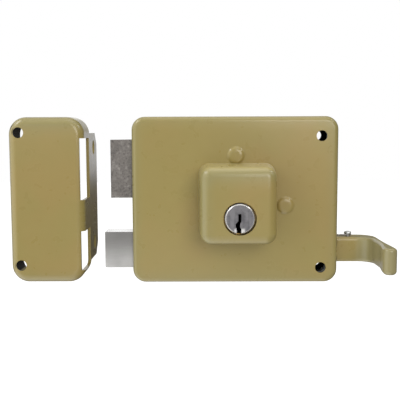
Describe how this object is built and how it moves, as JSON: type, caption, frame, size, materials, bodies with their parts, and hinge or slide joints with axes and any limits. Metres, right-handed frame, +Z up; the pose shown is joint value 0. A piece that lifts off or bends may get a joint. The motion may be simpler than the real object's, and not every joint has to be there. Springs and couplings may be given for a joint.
{
  "type": "door lock",
  "caption": "Surface-mounted rim door lock: painted case with latch bolt, dead bolt, keyed boss and pull handle, with its box keep.",
  "frame": {"origin": "middle of the case's back, on the face of the door", "axes": "+X from the bolts towards the handle, +Y into the door, +Z up"},
  "size_m": [0.1818, 0.0726, 0.081],
  "materials": {
    "gold_paint": "gloss olive-gold stoving enamel",
    "zinc_plate": "bright zinc plated sheet",
    "sintered_steel": "speckled matt grey sintered block",
    "bolt_steel": "plain drawn bar",
    "cylinder_brass": "turned and broached",
    "plug_nickel": "nickel plated face",
    "spring_steel": "drawn spring wire"
  },
  "bodies": {
    "case": {"case_cover": "gold_paint", "boss_housing": "gold_paint", "boss_rivets": "gold_paint", "back_plate": "zinc_plate", "guide_posts": "zinc_plate", "cover_pillars": "zinc_plate", "plate_screws": "zinc_plate", "cylinder_body": "cylinder_brass", "chamber_cover": "cylinder_brass", "cylinder_screws": "zinc_plate", "driver_pins": "cylinder_brass", "pin_springs": "spring_steel", "detent_spring": "spring_steel", "detent_rivet": "zinc_plate", "latch_guide_rod": "zinc_plate", "latch_spring": "spring_steel", "spring_post": "zinc_plate", "handle_spring": "spring_steel"},
    "latch": {"latch_bolt": "sintered_steel", "latch_tail": "zinc_plate", "latch_rivets": "zinc_plate"},
    "handle": {"handle_pull": "gold_paint", "handle_pin": "zinc_plate"},
    "dead_bolt": {"dead_bolt": "bolt_steel", "dead_tail": "zinc_plate", "dead_rivets": "zinc_plate"},
    "cam": {"cam": "zinc_plate", "cam_pin": "zinc_plate"},
    "plug": {"plug": "plug_nickel", "plug_clip": "spring_steel", "tail_blade": "zinc_plate", "key_pins": "cylinder_brass"},
    "keep": {"keep": "gold_paint"}
  },
  "joints": [
    {"name": "latch_slide", "type": "slide", "parent": "case", "child": "latch", "axis": [1, 0, 0], "range_m": [0, 0.0103], "stiffness_N_per_m": 300, "springref_m": -0.015, "deforming": ["latch_spring"]},
    {"name": "handle_slide", "type": "slide", "parent": "case", "child": "handle", "axis": [1, 0, 0], "range_m": [0, 0.0103], "stiffness_N_per_m": 200, "springref_m": -0.012, "deforming": ["handle_spring"]},
    {"name": "deadbolt_slide", "type": "slide", "parent": "case", "child": "dead_bolt", "axis": [1, 0, 0], "range_m": [0, 0.013], "deforming": ["detent_spring"]},
    {"name": "cam_turn", "type": "hinge", "parent": "case", "child": "cam", "pos_m": [0.0015, 0, -0.0067], "axis": [0, -1, 0], "range_deg": [0, 83.15]},
    {"name": "plug_turn", "type": "hinge", "parent": "cam", "child": "plug", "pos_m": [0.0015, 0, -0.0067], "axis": [0, -1, 0], "range_deg": [-83.1, 0]},
    {"name": "keep_fit", "type": "slide", "parent": "case", "child": "keep", "axis": [1, 0, 0], "range_m": [0, 0.02]}
  ],
  "couplings": [
    {"joint": "handle_slide", "follows": "latch_slide", "ratio": 1},
    {"joint": "cam_turn", "follows": "deadbolt_slide", "rad_per_m": 111.57}
  ]
}
